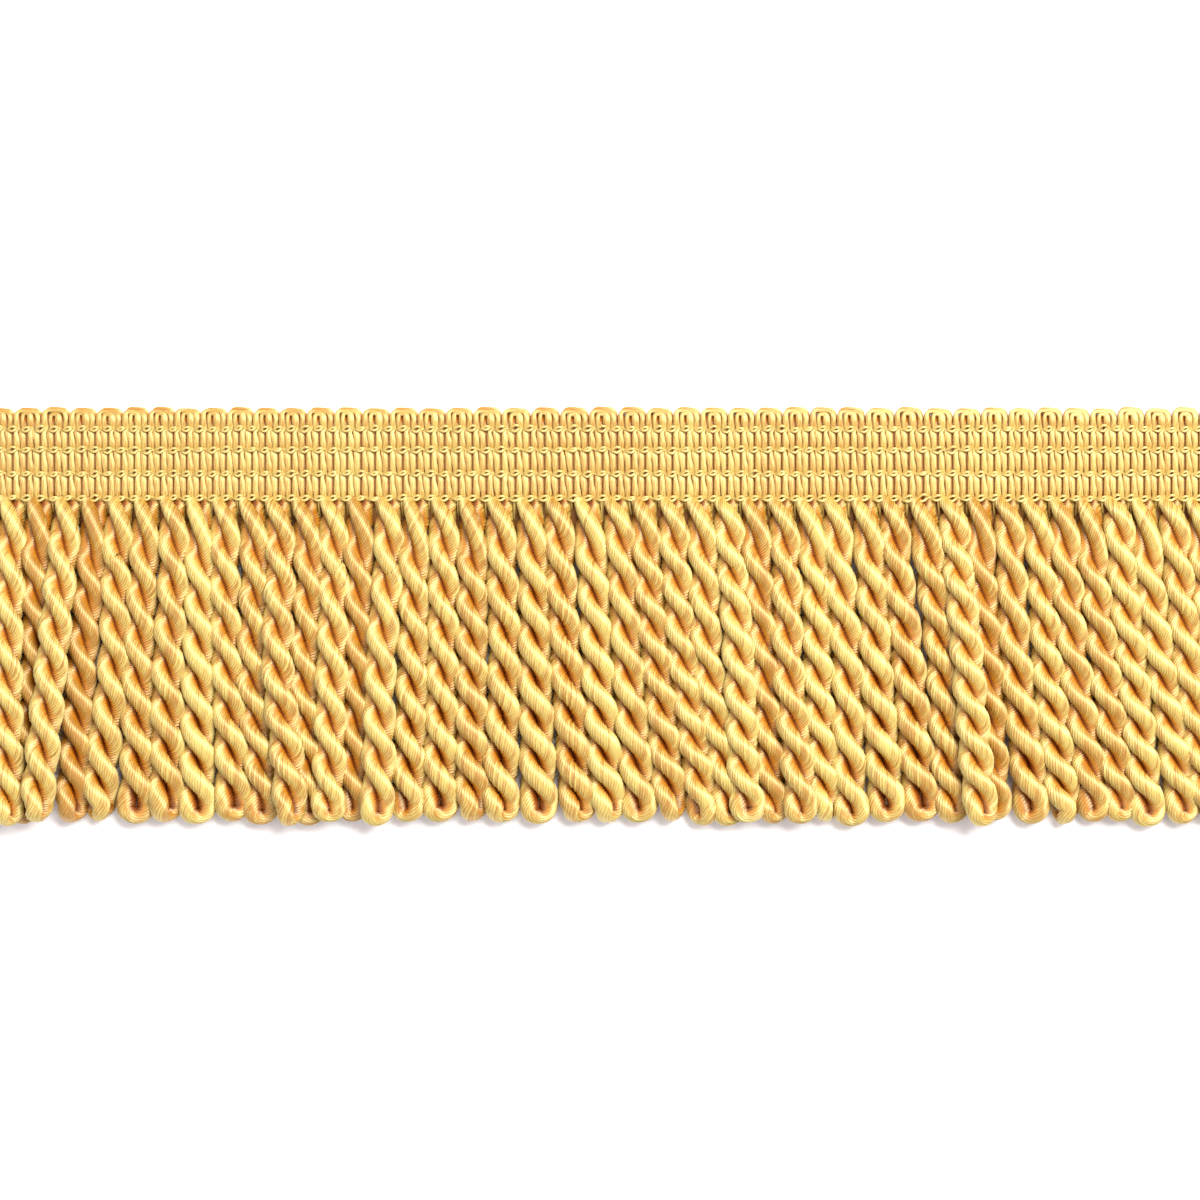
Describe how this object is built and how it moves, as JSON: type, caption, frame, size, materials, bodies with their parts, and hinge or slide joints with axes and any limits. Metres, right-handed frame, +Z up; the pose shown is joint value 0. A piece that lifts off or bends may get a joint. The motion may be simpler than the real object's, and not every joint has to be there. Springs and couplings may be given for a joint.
{
  "type": "cord fringe trim",
  "caption": "Cut length of cord fringe lying flat: a woven heading with a looped top edge carries a close comb of twisted looped cords.",
  "frame": {"origin": "on the surface the trim lies on, under the middle of its box", "axes": "+X along the trim's length, +Y from the cord tips to the heading's looped edge, +Z up from the surface, through the trim's thickness"},
  "size_m": [0.2058, 0.0638, 0.0077],
  "materials": {
    "gold_weave": "satin filament rayon yarn, woven",
    "gold_cord": "satin filament rayon yarn, twisted into cords"
  },
  "bodies": {
    "root": {"heading": "gold_weave", "cord_skirt": "gold_cord"}
  },
  "joints": []
}
